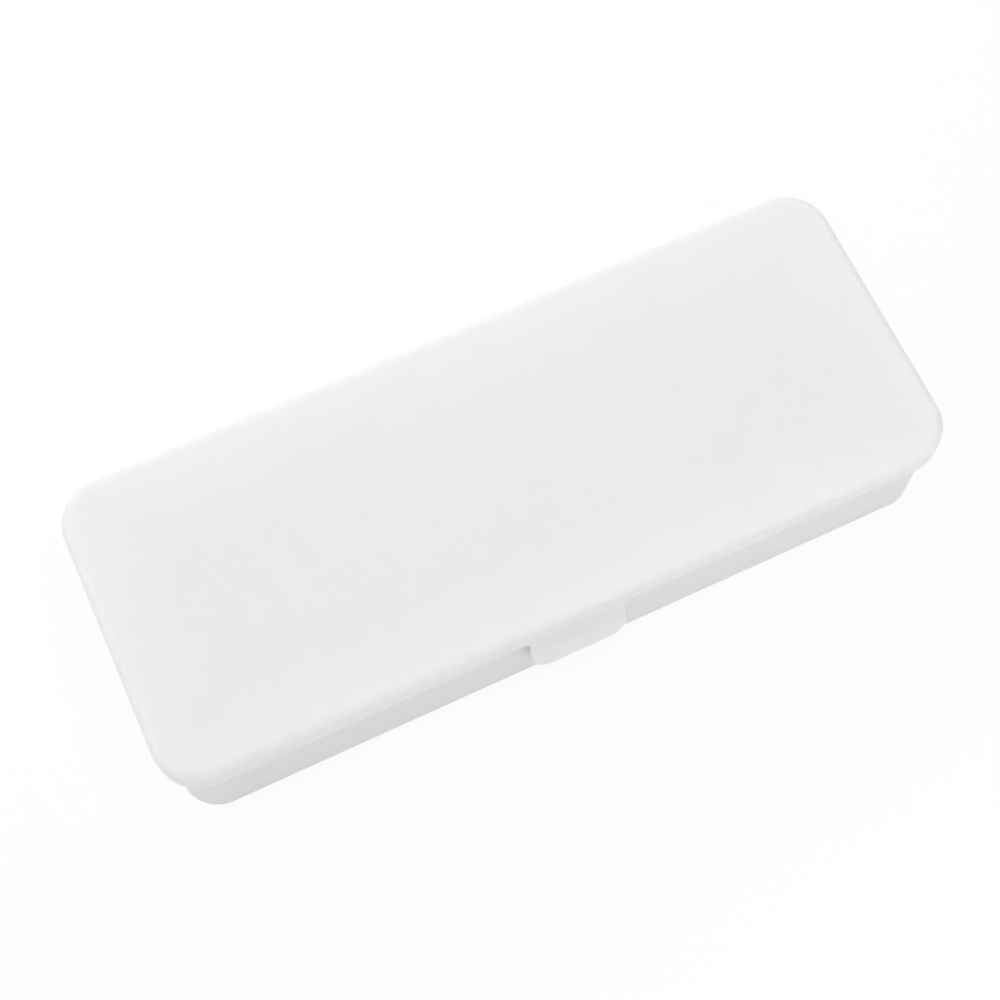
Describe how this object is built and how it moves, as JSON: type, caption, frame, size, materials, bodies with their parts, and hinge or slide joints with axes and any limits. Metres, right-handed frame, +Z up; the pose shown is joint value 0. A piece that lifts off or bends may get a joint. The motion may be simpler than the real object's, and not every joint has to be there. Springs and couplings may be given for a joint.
{
  "type": "snap-lid storage box",
  "caption": "Frosted white plastic storage box with a flat hinged lid, rounded corners and a flexing snap tab at the front, sized for pencils and small tools",
  "frame": {"origin": "middle of the tray's flat underside", "axes": "+X along the box to its right end, +Y from the snap tab to the hinge, +Z up through the lid"},
  "size_m": [0.205, 0.0847, 0.037],
  "materials": {
    "frosted_plastic": "frosted translucent polypropylene",
    "pin_plastic": "smooth natural plastic rod"
  },
  "bodies": {
    "base": {"base_tray": "frosted_plastic", "hinge_pin_left": "pin_plastic", "hinge_pin_right": "pin_plastic"},
    "lid": {"lid": "frosted_plastic"},
    "snap_tab": {"snap_tab": "frosted_plastic"}
  },
  "joints": [
    {"name": "lid_hinge", "type": "hinge", "parent": "base", "child": "lid", "pos_m": [0, 0.04035, 0.0258], "axis": [-1, 0, 0], "range_deg": [0, 180]},
    {"name": "tab_flex", "type": "hinge", "parent": "lid", "child": "snap_tab", "pos_m": [0, -0.03905, 0.02825], "axis": [-1, 0, 0], "range_deg": [0, 8], "stiffness_Nm_per_rad": 0.05}
  ]
}
